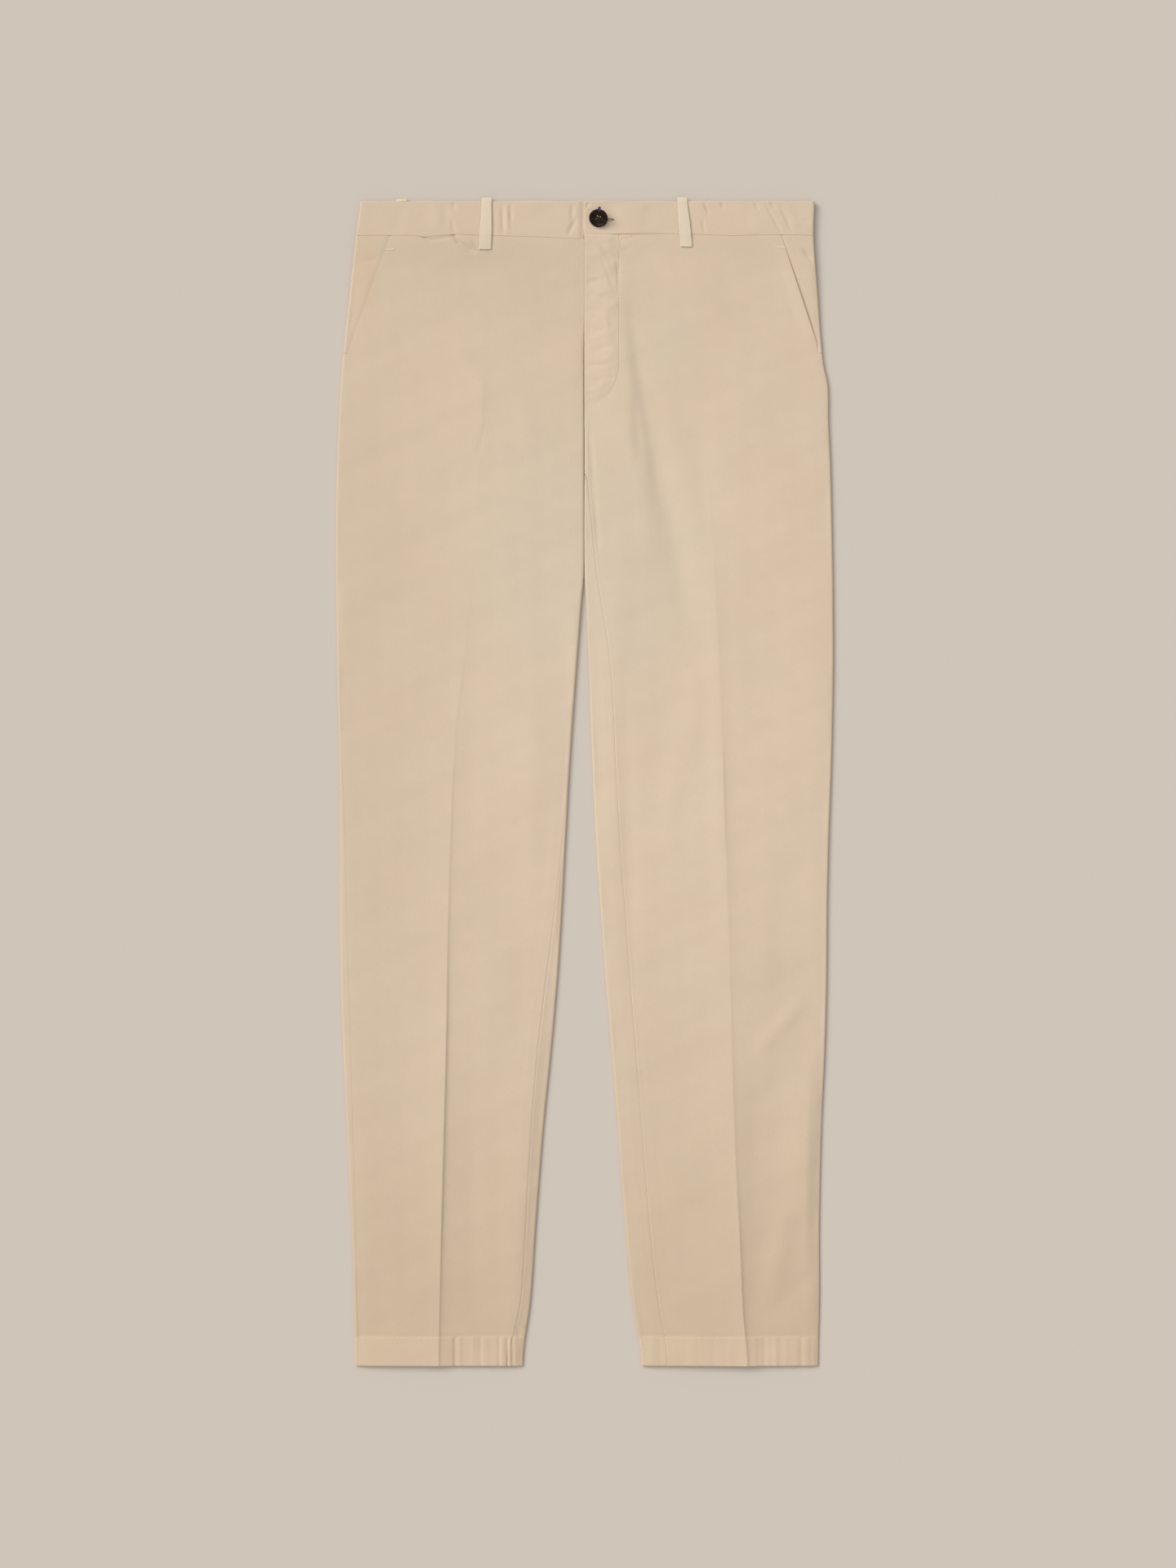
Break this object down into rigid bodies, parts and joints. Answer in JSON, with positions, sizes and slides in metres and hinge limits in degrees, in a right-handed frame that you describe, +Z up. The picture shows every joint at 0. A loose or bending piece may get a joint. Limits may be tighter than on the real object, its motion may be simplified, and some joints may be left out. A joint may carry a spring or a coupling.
{
  "type": "chino trousers laid flat",
  "caption": "Straight-leg cotton chino trousers lying flat on their back, pressed creases up, with slanted side pockets, fly, waistband and belt loops.",
  "frame": {"origin": "on the surface under the middle of the garment's outline", "axes": "+Y towards the waist, +X towards the wearer's left side, +Z up off the surface, the front facing up"},
  "size_m": [0.4626, 1.0862, 0.0177],
  "materials": {
    "cloth": "matt brushed cotton twill, khaki",
    "button": "dark horn-look, low gloss"
  },
  "bodies": {
    "root": {"front_left": "cloth", "back_left": "cloth", "pocket_facing_left": "cloth", "waistband_left": "cloth", "front_right": "cloth", "back_right": "cloth", "pocket_facing_right": "cloth", "waistband_right": "cloth", "fly": "cloth", "loop_front_left": "cloth", "loop_front_right": "cloth", "loop_side_left": "cloth", "loop_side_right": "cloth", "loop_centre_back": "cloth", "button": "button"}
  },
  "joints": []
}
